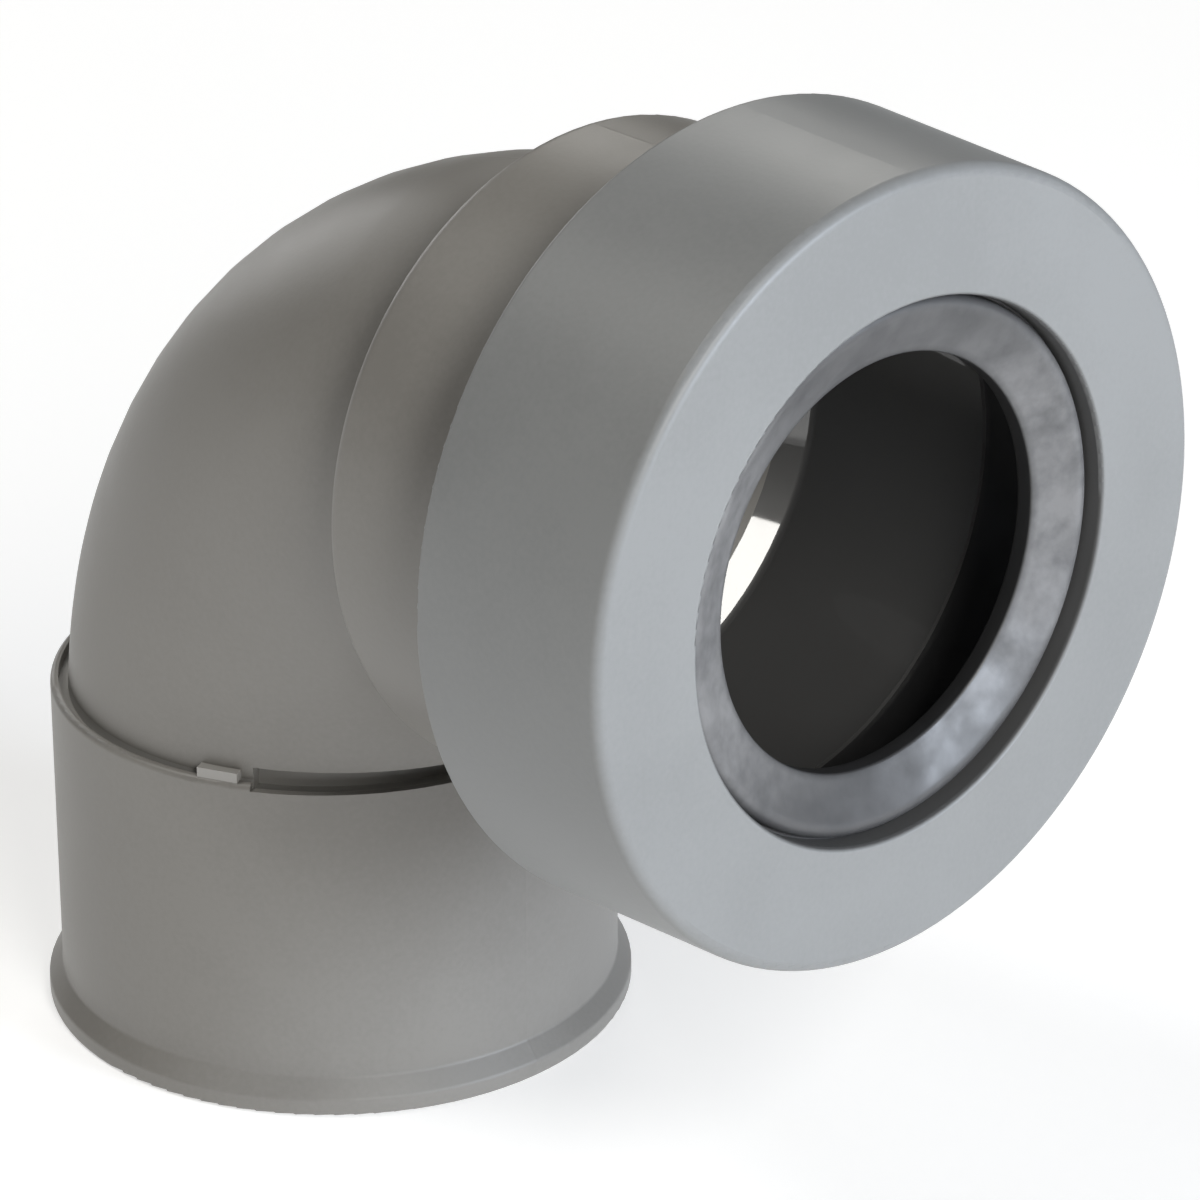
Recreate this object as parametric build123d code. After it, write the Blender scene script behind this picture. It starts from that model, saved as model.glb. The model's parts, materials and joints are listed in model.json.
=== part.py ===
from build123d import *
import os
from math import tan, radians

# Drain elbow with a pipe socket at one end and a sealed tube inlet at the other.
# The origin is the centre of the socket's mouth. +Z runs up the socket's axis and +X out along the branch.

# Pipe socket, for a pipe glued in from below
pipe_diameter = 40.0
pipe_clearance = 0.1          # radial room for the cement
socket_depth = 26.0           # mouth to the stop that the pipe's end meets
socket_wall = 2.9
sleeve_height = 28.4          # mouth to the ledge on top of the sleeve
mouth_bead_height = 3.0
mouth_bead_land = 1.5         # straight part of the bead, at the mouth
mouth_bead_reach = 1.15
mouth_lead_in = 0.5

# Quarter bend
stop_step = 1.75              # how far the pipe's stop stands in from the pipe's outside
bend_wall = 3.4
bend_radius = 33.0            # of the centre line
bend_rise = 28.7              # ledge to the branch's axis
bend_reach = 29.8             # socket's axis to the back of the branch's neck

# Ledge: a gutter runs round it and opens into a relief slot on the side of the branch,
# and an alignment lug bridges the gutter beyond each end of the slot
gutter_width = 0.7
gutter_depth = 0.9
slot_half_angle = 57.0
slot_drop = 0.5               # rim of the slot, below the ledge
slot_rise = 1.1               # above the ledge
slot_undercut = 1.1           # in from the bend's outside
lug_angle = 64.0
lug_width = 3.4
lug_height = 0.8              # above the ledge

# Neck and bell of the branch
neck_step = 3.85              # radial step from the bend to the neck
neck_wall = 3.2
neck_length = 15.9            # back of the neck to the back of the cap
neck_corner = 1.2
funnel_lead = 1.5             # small end of the funnel inside, to the back of the neck
funnel_angle = 45.0           # degrees, from the branch's axis
funnel_round = 0.8
bell_step = 2.85              # radial step from the neck to the back of the bell
bell_wall = 2.5
bell_floor = 2.6
bell_rim_round = 0.7

# Snap cap that closes the bell
cap_length = 17.9
cap_draft = 2.3               # degrees, each side
cap_wall = 2.3
cap_face = 2.2
cap_clearance = 0.15
hook_length = 1.5
hook_bite = 0.6               # how far the hook reaches in behind the bell's shoulder
cap_corner = 0.9
cap_back_corner = 0.5
opening_corner = 0.4

# Rubber lip seal
tube_diameter = 32.0          # tube that is pushed in
tube_squeeze = 0.2            # radial bite of the lip on the tube
lip_width = 4.6               # visible width of the lip, from its bore to its outside
lip_thickness = 1.5           # at its bore
lip_slant = 1.95              # how far the lip's front falls back from its outside to its bore
lip_rise = 1.5                # how far the lip stands forward of the flange, before its rounding
lip_outer_round = 1.1
lip_edge_round = 0.25         # both edges of the lip's bore
lip_gap = 0.2                 # room between the lip and the opening
flange_thickness = 2.0
seal_leg = 2.6
seal_clearance = 0.1

edge_round = 0.5              # general edge rounding of the mouldings
whole_edge_share = 0.95       # most of an edge that a rounding at one of its ends may take
shared_edge_share = 0.45      # most that it may take where the other end is rounded too

# Sizes that follow from those above
socket_bore = pipe_diameter / 2 + pipe_clearance
sleeve_radius = socket_bore + socket_wall
mouth_radius = sleeve_radius + mouth_bead_reach
bend_bore = pipe_diameter / 2 - stop_step
bend_outside = bend_bore + bend_wall
axis_height = sleeve_height + bend_rise

neck_radius = bend_outside + neck_step
neck_bore = neck_radius - neck_wall
funnel_start = bend_reach - funnel_lead
funnel_end = funnel_start + (neck_bore - bend_bore) / tan(radians(funnel_angle))
funnel_tip = funnel_end - neck_bore / tan(radians(funnel_angle))

cap_back = bend_reach + neck_length
cap_front = cap_back + cap_length
cap_inside = cap_front - cap_face
hook_face = cap_back + hook_length
bell_back = hook_face + cap_clearance
bell_front = cap_inside - flange_thickness
chamber_floor = bell_back + bell_floor

draft_slope = tan(radians(cap_draft))
bell_back_radius = neck_radius + bell_step
bell_front_radius = bell_back_radius - (bell_front - bell_back) * draft_slope
chamber_radius = bell_front_radius - bell_wall


def cap_inner_radius(x):
    """Inside of the cap's skirt at a place along the branch: the bell's tapered outside with a clearance."""
    return bell_back_radius + cap_clearance - (x - bell_back) * draft_slope


lip_bore = tube_diameter / 2 - tube_squeeze
opening_radius = lip_bore + lip_width + lip_gap

socket_axis = Axis.Z
branch_plane = Plane(origin=(0, 0, axis_height), x_dir=(1, 0, 0), z_dir=(0, -1, 0))
branch_axis = Axis((0, 0, axis_height), (1, 0, 0))


def fitted_rounding(corner, before, after):
    """Radius of a corner's rounding, held to what the edges to its two neighbours have room for."""
    edges = [Vector(other[0] - corner[0], other[1] - corner[1]) for other in (before, after)]
    room = min(
        edge.length * (shared_edge_share if other[2] else whole_edge_share)
        for edge, other in zip(edges, (before, after))
    )
    return min(corner[2], room * tan(radians(edges[0].get_angle(edges[1])) / 2))


def turned(corners, plane, axis):
    """Solid of revolution from corners given as (along x, along y, corner radius) in the plane."""
    points = [(x, y) for x, y, _ in corners]
    neighbours = zip(corners, corners[-1:] + corners[:-1], corners[1:] + corners[:1])
    radii = [fitted_rounding(*trio) for trio in neighbours]
    outline = FilletPolyline(*points, radius=radii, close=True)
    return revolve(plane * make_face(outline), axis)


def bend_tube(radius, start_height, end_reach):
    """Round bar along the centre line, up the socket, round the bend and out along the branch."""
    corner = (0, 0, axis_height)
    route = FilletPolyline((0, 0, start_height), corner, (end_reach, 0, axis_height), radius=bend_radius)
    return sweep(Plane(origin=route @ 0, z_dir=route % 0) * Circle(radius), path=route)


def socket_sleeve():
    """Outside of the pipe socket: a plain sleeve that flares into a bead at its mouth."""
    return turned(
        [
            (0, 0, 0),
            (mouth_radius, 0, edge_round),
            (mouth_radius, mouth_bead_land, edge_round),
            (sleeve_radius, mouth_bead_height, edge_round),
            (sleeve_radius, sleeve_height, edge_round),
            (0, sleeve_height, 0),
        ],
        Plane.XZ,
        socket_axis,
    )


def branch_outside():
    """Outside of the branch: the neck, the shoulder that the cap hooks behind and the tapered bell."""
    return turned(
        [
            (bend_reach, 0, 0),
            (bend_reach, neck_radius, neck_corner),
            (bell_back, neck_radius, edge_round),
            (bell_back, bell_back_radius, 0),
            (bell_front, bell_front_radius, bell_rim_round),
            (bell_front, 0, 0),
        ],
        branch_plane,
        branch_axis,
    )


def branch_bore():
    """Space inside the branch: a funnel from the bend's bore to the neck's, and the wider seal chamber."""
    return turned(
        [
            (funnel_tip, 0, 0),
            (funnel_end, neck_bore, funnel_round),
            (chamber_floor, neck_bore, 0),
            (chamber_floor, chamber_radius, 0),
            (cap_front, chamber_radius, 0),
            (cap_front, 0, 0),
        ],
        branch_plane,
        branch_axis,
    )


def socket_space():
    """Space inside the socket, down to the pipe's stop, with a lead-in at the mouth."""
    return turned(
        [
            (0, 0, 0),
            (socket_bore + mouth_lead_in, 0, 0),
            (socket_bore, mouth_lead_in, 0),
            (socket_bore, socket_depth, 0),
            (0, socket_depth, 0),
        ],
        Plane.XZ,
        socket_axis,
    )


def ledge_gutter():
    """Gutter round the ledge, cut in as far as the slot so that the bend's own outside closes it."""
    ring = Circle(bend_outside + gutter_width) - Circle(bend_outside - slot_undercut)
    return Pos(0, 0, sleeve_height - gutter_depth) * extrude(ring, gutter_depth)


def ledge_slot():
    """Relief slot on the branch side of the ledge: a lowered rim and an undercut to the gutter's floor."""
    rim = extrude(Circle(mouth_radius) - Circle(bend_outside), slot_drop + slot_rise)
    undercut = extrude(
        Circle(bend_outside + gutter_width) - Circle(bend_outside - slot_undercut), gutter_depth + slot_rise
    )
    far = 2 * mouth_radius
    edge = far * tan(radians(slot_half_angle))
    wedge = extrude(make_face(Polyline((0, 0), (far, -edge), (far, edge), close=True)), axis_height)
    cut = Pos(0, 0, sleeve_height - slot_drop) * rim + Pos(0, 0, sleeve_height - gutter_depth) * undercut
    return cut & wedge


def alignment_lug(angle):
    """Block that fills the gutter and stands above the ledge, set in by half the sleeve's rounding."""
    reach = sleeve_radius - bend_outside + slot_undercut
    block = Box(reach, lug_width, gutter_depth + lug_height, align=(Align.MAX, Align.CENTER, Align.MIN))
    return Rot(0, 0, angle) * Pos(sleeve_radius - edge_round / 2, 0, sleeve_height - gutter_depth) * block


def elbow_body():
    """The one-piece moulding: socket, bend, neck and bell."""
    body = socket_sleeve() - ledge_gutter() + bend_tube(bend_outside, 0, cap_back) + branch_outside()
    body += alignment_lug(lug_angle) + alignment_lug(-lug_angle)
    body -= ledge_slot()
    body -= socket_space() + bend_tube(bend_bore, 0, cap_back) + branch_bore()
    return body


def seal_cap():
    """Cap with a flat ring face and a drafted skirt, hooked behind the bell's shoulder."""
    hook_radius = bell_back_radius - hook_bite
    return turned(
        [
            (cap_back, cap_inner_radius(cap_back) + cap_wall, cap_back_corner),
            (cap_front, cap_inner_radius(cap_front) + cap_wall, cap_corner),
            (cap_front, opening_radius, opening_corner),
            (cap_inside, opening_radius, 0),
            (cap_inside, cap_inner_radius(cap_inside), 0),
            (hook_face, cap_inner_radius(hook_face), 0),
            (hook_face, hook_radius, 0),
            (cap_back, cap_inner_radius(cap_back), 0),
        ],
        branch_plane,
        branch_axis,
    )


def lip_seal():
    """Rubber ring: a leg in the chamber, a flange clamped under the cap and a lip that slants inwards."""
    leg_outside = chamber_radius - seal_clearance
    leg_inside = leg_outside - seal_leg
    flange_radius = bell_front_radius - bell_rim_round
    lip_outside = opening_radius - lip_gap
    lip_front = cap_inside + lip_rise
    lip_edge = lip_front - lip_slant
    lip_back = lip_edge - lip_thickness
    return turned(
        [
            (chamber_floor, leg_outside, 0),
            (bell_front, leg_outside, 0),
            (bell_front, flange_radius, 0),
            (cap_inside, flange_radius, 0),
            (cap_inside, lip_outside, 0),
            (lip_front, lip_outside, lip_outer_round),
            (lip_edge, lip_bore, lip_edge_round),
            (lip_back, lip_bore, lip_edge_round),
            (lip_back, leg_inside, edge_round),
            (chamber_floor, leg_inside, 0),
        ],
        branch_plane,
        branch_axis,
    )


os.makedirs("parts", exist_ok=True)
export_step(elbow_body(), "parts/elbow_body.step")
export_step(seal_cap(), "parts/seal_cap.step")
export_step(lip_seal(), "parts/lip_seal.step")
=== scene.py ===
# %% [markdown]
# A drain elbow, dressed in Blender.
# The elbow is a grey plastic moulding with a socket for a glued pipe below and a branch at its side. A cap on
# the branch clamps a rubber ring, which seals round a thinner tube that is pushed in. The solids arrive
# finished and at their real size, so this lesson gives the two mouldings their surface, models the soft ring
# anew, and sets up the floor, the light and the camera.

# %% Load the solids
import json
from math import cos, radians, sin

import bmesh
import bpy
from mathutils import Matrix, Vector


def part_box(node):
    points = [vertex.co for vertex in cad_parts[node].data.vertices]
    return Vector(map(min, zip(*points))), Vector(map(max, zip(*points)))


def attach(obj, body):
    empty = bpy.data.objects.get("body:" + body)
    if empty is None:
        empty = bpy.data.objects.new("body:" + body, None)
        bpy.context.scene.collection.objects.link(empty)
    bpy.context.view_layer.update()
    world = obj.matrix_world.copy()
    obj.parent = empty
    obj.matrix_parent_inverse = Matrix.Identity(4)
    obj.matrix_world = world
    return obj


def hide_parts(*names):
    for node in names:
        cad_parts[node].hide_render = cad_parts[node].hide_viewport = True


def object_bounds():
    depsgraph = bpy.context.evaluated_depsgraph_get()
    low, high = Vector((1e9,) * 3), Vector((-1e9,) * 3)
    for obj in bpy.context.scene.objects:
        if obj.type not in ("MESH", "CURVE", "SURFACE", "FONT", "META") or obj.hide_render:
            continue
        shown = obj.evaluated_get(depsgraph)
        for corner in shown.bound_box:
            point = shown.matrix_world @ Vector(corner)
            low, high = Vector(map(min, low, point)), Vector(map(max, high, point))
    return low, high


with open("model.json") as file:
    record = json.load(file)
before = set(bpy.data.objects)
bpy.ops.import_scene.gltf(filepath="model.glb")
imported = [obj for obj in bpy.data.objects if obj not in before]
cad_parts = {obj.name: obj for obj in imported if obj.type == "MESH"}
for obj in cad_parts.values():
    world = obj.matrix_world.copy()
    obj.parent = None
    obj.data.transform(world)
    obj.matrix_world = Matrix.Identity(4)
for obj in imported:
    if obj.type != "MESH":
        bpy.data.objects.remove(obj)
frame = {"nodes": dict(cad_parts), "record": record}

mm = 0.001
solid_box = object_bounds()
print("solids:", sorted(frame["nodes"]))
print("box in mm:", [[round(c / mm, 2) for c in corner] for corner in solid_box])

# %% [markdown]
# Blender works in metres, and every solid keeps its place in its own mesh, so places are read off the solids
# and not typed in twice. The ring and the funnel behind it lie round the branch's axis, so the height of that
# axis is taken from the mount that describes the seal, and the ring's reach from the solid's box.

# %% Measure the branch
mounts = {mount["name"]: mount for mount in frame["record"]["mounts"]}
axis_height = mounts["tube_seal"]["pos_m"][2]
lip_bore = mounts["tube_seal"]["dims"]["r_mm"] * mm
seal_low, seal_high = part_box("lip_seal")
cap_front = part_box("seal_cap")[1].x
print("branch axis at", round(axis_height / mm, 2), "mm, lip bore radius", round(lip_bore / mm, 2), "mm")
print("ring from", round(seal_low.x / mm, 2), "to", round(seal_high.x / mm, 2), "mm along the branch")

# %% [markdown]
# The camera comes early, because every later choice is judged through it. The picture was taken with a long
# lens from a little above, looking at the branch's face from the left. The two angles are kept as values, and
# the direction from the part back to the lens is worked out from them, so that the lights can be placed by
# the same angles later on.

# %% Camera
view_azimuth = radians(47.05)
view_elevation = radians(24.41)
view_distance = 409 * mm
aim = Vector((31.60, 0, 44.57)) * mm
lens_length = 161.5
sensor_size = 36
nearest_view = 10 * mm


def direction(azimuth, elevation):
    """Unit vector from the part towards a place at this turn from the front and this height."""
    return Vector((sin(azimuth) * cos(elevation), -cos(azimuth) * cos(elevation), sin(elevation)))


def facing(back):
    """Turn of a camera or lamp that looks along the opposite of back."""
    return back.to_track_quat("Z", "Y").to_euler()


bpy.ops.object.select_all(action="DESELECT")
back = direction(view_azimuth, view_elevation)
bpy.ops.object.camera_add(location=aim + back * view_distance, rotation=facing(back))
camera = bpy.context.object
camera.name = "studio_camera"
camera.data.lens = lens_length
camera.data.sensor_width = sensor_size
camera.data.clip_start = nearest_view
bpy.context.scene.camera = camera
print("camera at", [round(c / mm, 1) for c in camera.location], "mm")

# %% [markdown]
# The seal is a soft rubber ring: a leg that sits in the elbow's chamber, a flange that the cap clamps, and a
# lip whose front slants inwards, so that a tube slides in and is gripped. A turned shape like this can be
# spun from a section or swept along a circle. Here a circle is extruded from corner to corner of the section,
# growing and shrinking on the way, which keeps every ring of edges in reach for the bevels that follow.
# The section repeats the solid's corners, so the ring fits its seat.

# %% The ring's section
cap_face = 2.2 * mm
flange_thickness = 2.0 * mm
flange_radius = seal_high.y
leg_outside = 25.27 * mm
leg_inside = 22.67 * mm
lip_outside = 20.4 * mm
lip_rise = 1.5 * mm
lip_slant = 1.95 * mm
lip_thickness = 1.5 * mm

flange_front = cap_front - cap_face
flange_back = flange_front - flange_thickness
lip_front = flange_front + lip_rise
lip_edge = lip_front - lip_slant
lip_back = lip_edge - lip_thickness
ring_section = [
    (seal_low.x, leg_outside),
    (flange_back, leg_outside),
    (flange_back, flange_radius),
    (flange_front, flange_radius),
    (flange_front, lip_outside),
    (lip_front, lip_outside),
    (lip_edge, lip_bore),
    (lip_back, lip_bore),
    (lip_back, leg_inside),
    (seal_low.x, leg_inside),
]
print("section corners in mm:", [(round(x / mm, 2), round(r / mm, 2)) for x, r in ring_section])

# %% Extrude the ring
ring_segments = 192
bpy.ops.object.select_all(action="DESELECT")
first_x, first_radius = ring_section[0]
bpy.ops.mesh.primitive_circle_add(
    vertices=ring_segments,
    radius=first_radius,
    location=(first_x, 0, axis_height),
    rotation=(0, radians(90), 0),
)
seal = bpy.context.object
seal.name = "greased_lip_seal"
bpy.ops.object.transform_apply(location=True, rotation=True, scale=True)

bpy.ops.object.mode_set(mode="EDIT")
bpy.ops.mesh.select_mode(type="EDGE")
bpy.ops.mesh.select_all(action="SELECT")
for (x, radius), (next_x, next_radius) in zip(ring_section, ring_section[1:]):
    growth = next_radius / radius
    bpy.ops.mesh.extrude_edges_move(TRANSFORM_OT_translate={"value": (next_x - x, 0, 0)})
    bpy.ops.transform.resize(value=(1, growth, growth), center_override=(next_x, 0, axis_height))
bpy.ops.mesh.select_all(action="DESELECT")
bpy.ops.mesh.select_non_manifold(extend=False)
bpy.ops.mesh.bridge_edge_loops()
bpy.ops.mesh.select_all(action="SELECT")
bpy.ops.mesh.normals_make_consistent(inside=False)
print("ring extruded:", len(bmesh.from_edit_mesh(seal.data).faces), "faces")

# %% [markdown]
# Rubber has no sharp corner where it shows. Each ring of edges is picked by its place along the branch and
# its radius, and bevelled by the length that its rounding takes along the section. The crest, which catches
# most of the light, gets the most segments.

# %% Round the lip
near = 0.01 * mm
crest_rounding = 0.95 * lip_rise
edge_rounding = 0.165 * mm
back_rounding = 0.25 * mm
root_rounding = 0.5 * mm
crest_segments = 12
edge_segments = 4


def ring_radius(point):
    """Distance of a point from the branch's axis."""
    return Vector((point.y, point.z - axis_height)).length


def select_edges(wanted):
    """Selects the edges of the mesh in edit mode whose two ends satisfy the test."""
    bpy.ops.mesh.select_all(action="DESELECT")
    shape = bmesh.from_edit_mesh(seal.data)
    for edge in shape.edges:
        edge.select_set(wanted(*(vertex.co for vertex in edge.verts)))
    bmesh.update_edit_mesh(seal.data)


def round_corner(x, radius, rounding, segments):
    """Bevels the ring of edges at this place along the branch and this radius."""
    def on_corner(point):
        return abs(point.x - x) < near and abs(ring_radius(point) - radius) < near
    select_edges(lambda start, end: on_corner(start) and on_corner(end))
    bpy.ops.mesh.bevel(offset=rounding, offset_type="OFFSET", segments=segments, profile=0.5, affect="EDGES")


round_corner(lip_front, lip_outside, crest_rounding, crest_segments)
round_corner(lip_edge, lip_bore, edge_rounding, edge_segments)
round_corner(lip_back, lip_bore, back_rounding, edge_segments)
round_corner(lip_back, leg_inside, root_rounding, edge_segments)
print("ring rounded:", len(bmesh.from_edit_mesh(seal.data).faces), "faces")

# %% [markdown]
# The lip is greased so that a tube slides in, and grease never lies even. The slanted front is first cut into
# rows, so that it has points to move. A displace modifier with a cloud pattern then lifts and sinks them by a
# few hundredths of a millimetre, and a vertex group fades that out towards the crest and the bore, where the
# ring touches other things.

# %% Smear the grease
front_cuts = 11
shortest_front = 1.5 * mm


def crosses_front(start, end):
    """True for an edge that runs up the lip's slanted front."""
    ahead = min(start.x, end.x) > lip_edge - edge_rounding
    return ahead and abs(ring_radius(start) - ring_radius(end)) > shortest_front


select_edges(crosses_front)
bpy.ops.mesh.subdivide(number_cuts=front_cuts)
bpy.ops.object.mode_set(mode="OBJECT")

crest_fade = 1.6 * mm
bore_fade = 0.6 * mm
greased = seal.vertex_groups.new(name="greased_front")
for vertex in seal.data.vertices:
    radius = ring_radius(vertex.co)
    if vertex.co.x > lip_edge - edge_rounding and lip_bore < radius < lip_outside:
        weight = min(1, (lip_outside - radius) / crest_fade, (radius - lip_bore) / bore_fade)
        greased.add([vertex.index], weight, "REPLACE")

smear_size = 2.6 * mm
smear_height = 0.14 * mm
smear_depth = 2
smooth_angle = radians(40)
smear = bpy.data.textures.new("grease_smear", "CLOUDS")
smear.noise_scale = smear_size
smear.noise_depth = smear_depth
lumps = seal.modifiers.new("grease", "DISPLACE")
lumps.texture = smear
lumps.texture_coords = "LOCAL"
lumps.vertex_group = greased.name
lumps.mid_level = 0.5
lumps.strength = smear_height
bpy.ops.object.modifier_apply(modifier=lumps.name)
bpy.ops.object.shade_smooth_by_angle(angle=smooth_angle)
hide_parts("lip_seal")
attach(seal, "root")
print("seal finished:", len(seal.data.polygons), "faces")

# %% [markdown]
# Materials are built from nodes. Each node reads the point on the part in its own metres, so a pattern has a
# real size: a noise of scale 50 has clouds about 20 mm across, and one of scale 2000 has grains of half a
# millimetre. One small helper adds a node, sets its options and fills its inputs, either with a value or with
# the output of an earlier node, and a second one does sums on such outputs.

# %% Node helpers


def add_node(tree, kind, inputs, **options):
    """Adds a node, sets its options, and fills its inputs by name or number with values or other outputs."""
    added = tree.nodes.new(kind)
    for option, value in options.items():
        setattr(added, option, value)
    for place, source in inputs.items():
        if isinstance(source, bpy.types.NodeSocket):
            tree.links.new(source, added.inputs[place])
        else:
            added.inputs[place].default_value = source
    return added


def sum_node(tree, operation, first, second=0.0):
    """Output of a sum on one or two numbers."""
    return add_node(tree, "ShaderNodeMath", {0: first, 1: second}, operation=operation).outputs[0]


def weighed(tree, first, share, second, other_share):
    """Output of two numbers added up, each times its own share."""
    return sum_node(
        tree, "ADD", sum_node(tree, "MULTIPLY", first, share), sum_node(tree, "MULTIPLY", second, other_share)
    )


def noise(tree, point, scale, detail):
    """Output of a noise pattern, from about 0.3 to 0.7."""
    inputs = {"Vector": point, "Scale": scale, "Detail": detail}
    return add_node(tree, "ShaderNodeTexNoise", inputs).outputs["Fac"]


def stretched(tree, value, low, high, to_low, to_high):
    """Output of a number moved from one range to another, without leaving the second."""
    inputs = {"Value": value, "From Min": low, "From Max": high, "To Min": to_low, "To Max": to_high}
    return add_node(tree, "ShaderNodeMapRange", inputs).outputs["Result"]


def blended(tree, share, first, second):
    """Output of a mix of two colours."""
    inputs = {"Factor": share, "A": first, "B": second}
    return add_node(tree, "ShaderNodeMix", inputs, data_type="RGBA").outputs["Result"]


def start_material(name):
    """A new material, with its node tree, its shader and the point on the part in metres."""
    material = bpy.data.materials.new(name)
    material.use_nodes = True
    tree = material.node_tree
    point = tree.nodes.new("ShaderNodeTexCoord").outputs["Object"]
    return material, tree, tree.nodes["Principled BSDF"], point


print("helpers ready")

# %% [markdown]
# Both mouldings are satin PVC. Real moulded plastic is never one flat grey: the pigment is a little cloudy,
# the mould's texture breaks the shine into a fine grain, and the skin is a little wavy where the wall cooled
# unevenly. All three come from noise at three sizes. The function is shared by the cap and the body, and it
# returns the tint and the relief, so that each of them can add its own marks before it uses them.

# %% Satin plastic
cloud_scale = 55
cloud_detail = 4
cloud_share = 0.7
wave_scale = 130
wave_share = 0.8
grain_scale = 2200
fine_detail = 2
mottle_range = (0.38, 0.62)
gloss_range = (0.35, 0.65)
satin_roughness = (0.38, 0.5)
bump_strength = 0.5


def satin_plastic(name, dark, light):
    """Satin PVC whose grey wanders between two tints, with a fine moulded grain."""
    material, tree, shader, point = start_material(name)
    cloud = noise(tree, point, cloud_scale, cloud_detail)
    grain = noise(tree, point, grain_scale, fine_detail)
    wave = noise(tree, point, wave_scale, fine_detail)
    mottle = weighed(tree, cloud, cloud_share, grain, 1 - cloud_share)
    tint = blended(tree, stretched(tree, mottle, *mottle_range, 0, 1), (*dark, 1), (*light, 1))
    roughness = stretched(tree, mottle, *gloss_range, *satin_roughness)
    relief = weighed(tree, wave, wave_share, grain, 1 - wave_share)
    tree.links.new(roughness, shader.inputs["Roughness"])
    return material, tree, shader, point, tint, relief


def raise_skin(tree, shader, relief, height):
    """Feeds a relief into the shader as bumps of this height in metres."""
    inputs = {"Height": relief, "Strength": bump_strength, "Distance": height}
    bump = add_node(tree, "ShaderNodeBump", inputs)
    tree.links.new(bump.outputs["Normal"], shader.inputs["Normal"])


def dress(node_name, material):
    """Gives a solid this material and no other."""
    solid = frame["nodes"][node_name]
    solid.data.materials.clear()
    solid.data.materials.append(material)


print("grain about", round(1 / grain_scale / mm, 2), "mm, clouds about", round(1 / cloud_scale / mm), "mm")

# %% [markdown]
# The cap is the neutral grey one. Its mould was turned on a lathe, so its front carries very faint rings. A
# wave pattern in rings gives them, once a mapping node has brought the branch's axis to the middle of the
# pattern. The wall of its opening is painted darker, as painted shade in the narrow gap round the ring.

# %% Cap
cap_dark = (0.206, 0.211, 0.212)
cap_light = (0.230, 0.235, 0.236)
lathe_scale = 420
lathe_share = 0.02
lathe_wander = 0.4
skin_height = 0.06 * mm
opening_wall = 20.85 * mm
opening_rim = 0.2 * mm
opening_shade = (0.085, 0.085, 0.085, 1)

cap_plastic, tree, shader, point, tint, relief = satin_plastic("cap_pvc", cap_dark, cap_light)
centred = add_node(tree, "ShaderNodeMapping", {"Vector": point, "Location": (0, 0, -axis_height)}).outputs[0]
lathe_inputs = {"Vector": centred, "Scale": lathe_scale, "Distortion": lathe_wander, "Detail": 1}
rings = add_node(tree, "ShaderNodeTexWave", lathe_inputs, wave_type="RINGS", rings_direction="X")
raise_skin(tree, shader, weighed(tree, relief, 1.0, rings.outputs["Fac"], lathe_share), skin_height)

# The wall of the opening is painted dark: painted shade in the gap round the ring.
split = add_node(tree, "ShaderNodeSeparateXYZ", {0: centred})
across_square = sum_node(tree, "MULTIPLY", split.outputs["Y"], split.outputs["Y"])
height_square = sum_node(tree, "MULTIPLY", split.outputs["Z"], split.outputs["Z"])
off_axis = sum_node(tree, "SQRT", sum_node(tree, "ADD", across_square, height_square))
on_wall = sum_node(tree, "LESS_THAN", off_axis, opening_wall)
behind_rim = stretched(tree, split.outputs["X"], cap_front - opening_rim, cap_front, 1, 0)
shaded_wall = sum_node(tree, "MULTIPLY", on_wall, behind_rim)
tree.links.new(blended(tree, shaded_wall, tint, opening_shade), shader.inputs["Base Color"])
dress("seal_cap", cap_plastic)
print("cap dressed with", len(tree.nodes), "nodes")

# %% [markdown]
# The body is a warmer grey. Its two mould halves met in the plane of the bend, which leaves a hair-thin line
# on the outside only. Inside, a polished core shaped the bore, and a film of grease makes it glossy; its grey
# is painted darker there, as painted shade inside the pipe. The gutter and the slot of the ledge are painted
# a paler grey, as painted light that sets how dark the shade in them looks, and the two lugs that bridge the
# gutter are painted paler still, as a painted highlight. Nearly all of these need to know how far a point
# lies from the centre line of the pipe, up the socket, round the bend and along the branch. That distance is
# one formula, because clamping the two sides of the bend's circle at zero makes it run straight beyond its
# ends.
# Only the gutter runs round the socket's own axis, and is found by the distance from that.

# %% Distance from the pipe's centre line
bend_radius = 33.0 * mm


def pipe_distance(tree, point):
    """Outputs of the point's x, y and z, and of its distance from the centre line of the bent pipe."""
    split = add_node(tree, "ShaderNodeSeparateXYZ", {0: point})
    x, y, z = (split.outputs[name] for name in "XYZ")
    inward = sum_node(tree, "MAXIMUM", sum_node(tree, "SUBTRACT", bend_radius, x), 0.0)
    upward = sum_node(tree, "MAXIMUM", sum_node(tree, "SUBTRACT", z, axis_height - bend_radius), 0.0)
    inward_square = sum_node(tree, "MULTIPLY", inward, inward)
    upward_square = sum_node(tree, "MULTIPLY", upward, upward)
    arc = sum_node(tree, "SQRT", sum_node(tree, "ADD", inward_square, upward_square))
    off_arc = sum_node(tree, "SUBTRACT", arc, bend_radius)
    off_square = sum_node(tree, "MULTIPLY", off_arc, off_arc)
    side_square = sum_node(tree, "MULTIPLY", y, y)
    return x, y, z, sum_node(tree, "SQRT", sum_node(tree, "ADD", off_square, side_square))


def between(tree, value, low, high):
    """Output of 1 where a number lies between two limits, and 0 elsewhere."""
    above = sum_node(tree, "GREATER_THAN", value, low)
    return sum_node(tree, "MULTIPLY", above, sum_node(tree, "LESS_THAN", value, high))


print("bend radius", round(bend_radius / mm, 1), "mm")

# %% Body
body_dark = (0.203, 0.194, 0.180)
body_light = (0.229, 0.220, 0.205)
bore_shade = (0.086, 0.0855, 0.085, 1)
bend_core = 19.4 * mm
branch_core = 24.0 * mm
branch_start = 30.5 * mm
film_gloss = 0.03
film_index = 1.75

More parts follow.
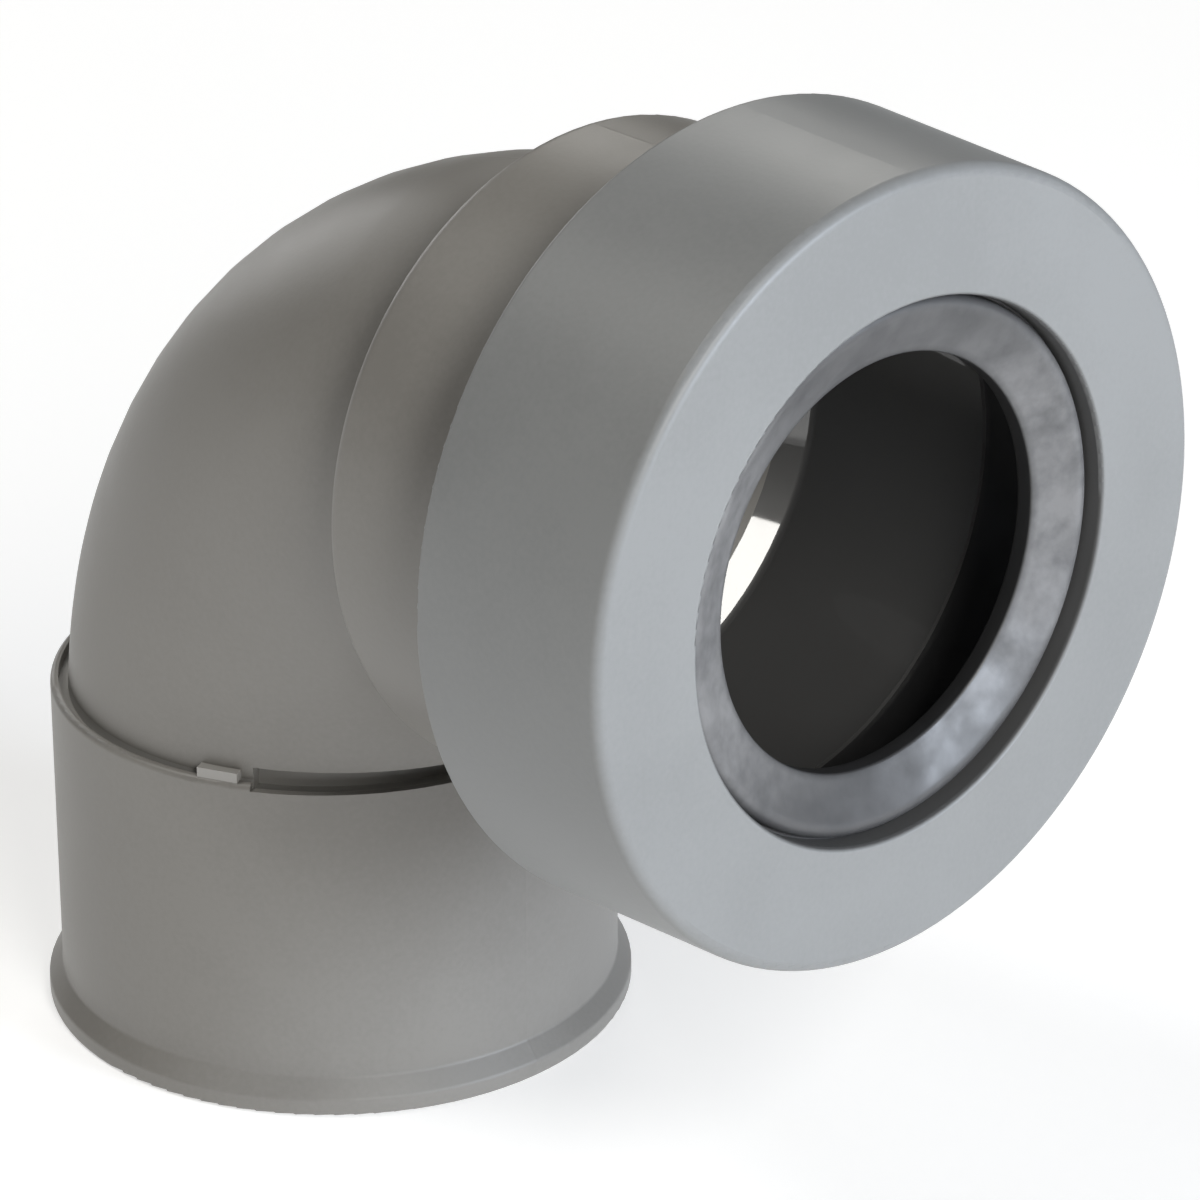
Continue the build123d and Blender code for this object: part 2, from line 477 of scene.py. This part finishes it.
body_plastic, tree, shader, point, tint, relief = satin_plastic("body_pvc", body_dark, body_light)
x, y, z, distance = pipe_distance(tree, point)
in_branch = sum_node(tree, "GREATER_THAN", x, branch_start)
widening = sum_node(tree, "MULTIPLY", in_branch, branch_core - bend_core)
inside = sum_node(tree, "LESS_THAN", distance, sum_node(tree, "ADD", widening, bend_core))
# The bore's grey is painted darker: painted shade inside the pipe.
tint = blended(tree, inside, tint, bore_shade)
tree.links.new(inside, shader.inputs["Coat Weight"])
shader.inputs["Coat Roughness"].default_value = film_gloss
shader.inputs["Coat IOR"].default_value = film_index
print("bore told from outside at", round(bend_core / mm, 1), "and", round(branch_core / mm, 1), "mm")

# %% Ledge
ledge_height = 28.4 * mm
gutter_floor = 27.4 * mm
gutter_rim = 22.4 * mm
slot_top = 29.45 * mm
slot_back = 19.9 * mm
slot_front = 21.55 * mm
lug_back = 21.75 * mm
lug_front = 23.2 * mm
lug_top = 29.3 * mm
recess_painted_light = (0.30, 0.291, 0.276, 1)
lug_highlight = (0.34, 0.33, 0.315, 1)


def within(tree, *limits):
    """Output of 1 where every number lies between its two limits, and 0 elsewhere."""
    inside_all = 1.0
    for value, low, high in limits:
        inside_all = sum_node(tree, "MULTIPLY", between(tree, value, low, high), inside_all)
    return inside_all


across_square = sum_node(tree, "ADD", sum_node(tree, "MULTIPLY", x, x), sum_node(tree, "MULTIPLY", y, y))
off_socket = sum_node(tree, "SQRT", across_square)
# The gutter and the slot are painted a paler grey: painted light that sets how dark their shade looks.
in_gutter = within(tree, (z, gutter_floor, ledge_height), (off_socket, slot_back, gutter_rim))
in_slot = within(tree, (z, gutter_floor, slot_top), (distance, slot_back, slot_front))
tint = blended(tree, sum_node(tree, "MAXIMUM", in_gutter, in_slot), tint, recess_painted_light)
# The lugs are painted paler still: a painted highlight.
on_lug = within(tree, (z, ledge_height, lug_top), (distance, lug_back, lug_front))
tint = blended(tree, on_lug, tint, lug_highlight)
tree.links.new(tint, shader.inputs["Base Color"])
print("ledge at", round(ledge_height / mm, 1), "mm")

# %% Parting line
parting_width = 0.22 * mm
parting_rise = 0.35

seam = stretched(tree, sum_node(tree, "ABSOLUTE", y), 0, parting_width, parting_rise, 0)
outside = sum_node(tree, "SUBTRACT", 1.0, inside)
outer_seam = sum_node(tree, "MULTIPLY", seam, outside)
raise_skin(tree, shader, sum_node(tree, "ADD", relief, outer_seam), skin_height)
dress("elbow_body", body_plastic)
print("body dressed with", len(tree.nodes), "nodes")

# %% [markdown]
# The ring is black rubber under grey grease. The grease lies on the slanted front only, so the lip's edge and
# all that is behind it stay dark; that black also paints the shade on the edge and in the bore behind it. The
# grease is patchy all round, so the grey is blotchy, the gloss comes and goes, and fine lumps break up what
# it mirrors, and its grey is painted darker towards the top and the bottom, as painted shade there. A coat on
# the shader stands for the clear film on top. It is the same all over, so its two numbers are set on the
# shader itself.

# %% Greased rubber
bare_rubber_and_shade = (0.022, 0.022, 0.023, 1)
thin_grease = (0.045, 0.045, 0.047, 1)
thick_grease = (0.175, 0.174, 0.176, 1)
shade_from = 9.0 * mm
shade_to = 16.5 * mm
shade_share = 0.2
blotch_scale = 260
blotch_share = 0.7
speck_scale = 1100
grease_detail = 3
patch_range = (0.3, 0.6)
patch_thickness = (0.3, 1)
grease_range = (0.35, 0.65)
grease_roughness = (0.55, 0.36)
film_strength = 0.1
film_roughness = 0.25
lump_height = 0.08 * mm
front_start = lip_edge - 0.2 * mm
front_full = lip_edge + 0.25 * mm

rubber, tree, shader, point = start_material("seal_rubber")
blotch = noise(tree, point, blotch_scale, grease_detail)
speck = noise(tree, point, speck_scale, grease_detail)
patch = weighed(tree, blotch, blotch_share, speck, 1 - blotch_share)
split = add_node(tree, "ShaderNodeSeparateXYZ", {0: point})
# The grease is painted thinner and darker towards the top and the bottom: painted shade.
off_middle = sum_node(tree, "ABSOLUTE", sum_node(tree, "SUBTRACT", split.outputs["Z"], axis_height))
lit_sides = stretched(tree, off_middle, shade_from, shade_to, 1, shade_share)
thickness = sum_node(tree, "MULTIPLY", stretched(tree, patch, *patch_range, *patch_thickness), lit_sides)
grease = blended(tree, thickness, thin_grease, thick_grease)
# Behind the front the lip is bare black rubber, which also paints the shade on its edge and in its bore.
on_front = stretched(tree, split.outputs["X"], front_start, front_full, 0, 1)
tree.links.new(blended(tree, on_front, bare_rubber_and_shade, grease), shader.inputs["Base Color"])
tree.links.new(stretched(tree, blotch, *grease_range, *grease_roughness), shader.inputs["Roughness"])
shader.inputs["Coat Weight"].default_value = film_strength
shader.inputs["Coat Roughness"].default_value = film_roughness
raise_skin(tree, shader, patch, lump_height)
seal.data.materials.append(rubber)
print("seal dressed with", len(tree.nodes), "nodes")

# %% [markdown]
# The part stands on a sheet of pale paper that is lit from below as well, as on a light table. That keeps
# the ground white, takes the weight out of the shadow at the foot, and throws light up under the cap and the
# neck. The floor is stage and not part of the object.

# %% Floor
floor_size = 4
floor_glow = 0.5
paper_low = (0.69, 0.69, 0.69, 1)
paper_high = (0.72, 0.72, 0.72, 1)
fibre_scale = 700
paper_roughness = 0.9
white = (1, 1, 1, 1)

bpy.ops.object.select_all(action="DESELECT")
bpy.ops.mesh.primitive_plane_add(size=floor_size, location=(0, 0, solid_box[0].z))
floor = bpy.context.object
floor.name = "studio_floor"

paper, tree, shader, point = start_material("floor_paper")
fibres = noise(tree, point, fibre_scale, fine_detail)
tree.links.new(blended(tree, fibres, paper_low, paper_high), shader.inputs["Base Color"])
shader.inputs["Roughness"].default_value = paper_roughness
shader.inputs["Emission Color"].default_value = white
shader.inputs["Emission Strength"].default_value = floor_glow
floor.data.materials.append(paper)
print("floor at", round(solid_box[0].z / mm, 3), "mm")

# %% [markdown]
# The light is soft and plain. Softboxes stand on a ring about the part and look at its middle, and their turn
# is counted from the camera. The key is tall and narrow and leans a little, so that the funnel behind the
# seal mirrors it as one bright streak. The cool one on the right lights the cap's face, and the ones above
# and behind draw the rims of the bend and the cap. The room itself stays black, and the plain view transform
# keeps the greys as they are.

# %% Lights
light_centre = Vector((30, 0, 45)) * mm
light_distance = 0.9
air_glow = 0.0
round_size = (0.35, 0.35)
key_size = (0.24, 0.7)
key_lean = -32
warm = (1, 0.985, 0.945)
cool = (0.8, 0.88, 1)
neutral = (1, 1, 1)


def softbox(name, turn, rise, power, size, colour, lean=0):
    """A soft light, turned from the camera and raised by these degrees, of this width and height, leaning."""
    way = direction(view_azimuth + radians(turn), radians(rise))
    place = light_centre + way * light_distance
    bpy.ops.object.light_add(type="AREA", location=place, rotation=facing(way))
    lamp = bpy.context.object
    lamp.rotation_euler.rotate_axis("Z", radians(lean))
    lamp.name = name
    lamp.data.shape = "ELLIPSE"
    lamp.data.size, lamp.data.size_y = size
    lamp.data.energy = power
    lamp.data.color = colour
    print(name, "at", [round(c, 2) for c in place], "m,", power, "W")


softbox("key", 22, 32, 5.0, key_size, warm, key_lean)
softbox("low_right", 60, 12, 6.4, round_size, cool)
softbox("top_left", -90, 60, 2.6, round_size, warm)
softbox("back", 180, 35, 1.2, round_size, warm)
softbox("low_back_left", -150, 12, 0.85, round_size, neutral)

world = bpy.data.worlds.new("studio_air")
world.use_nodes = True
world.node_tree.nodes["Background"].inputs["Strength"].default_value = air_glow
bpy.context.scene.world = world
bpy.context.scene.view_settings.view_transform = "Standard"
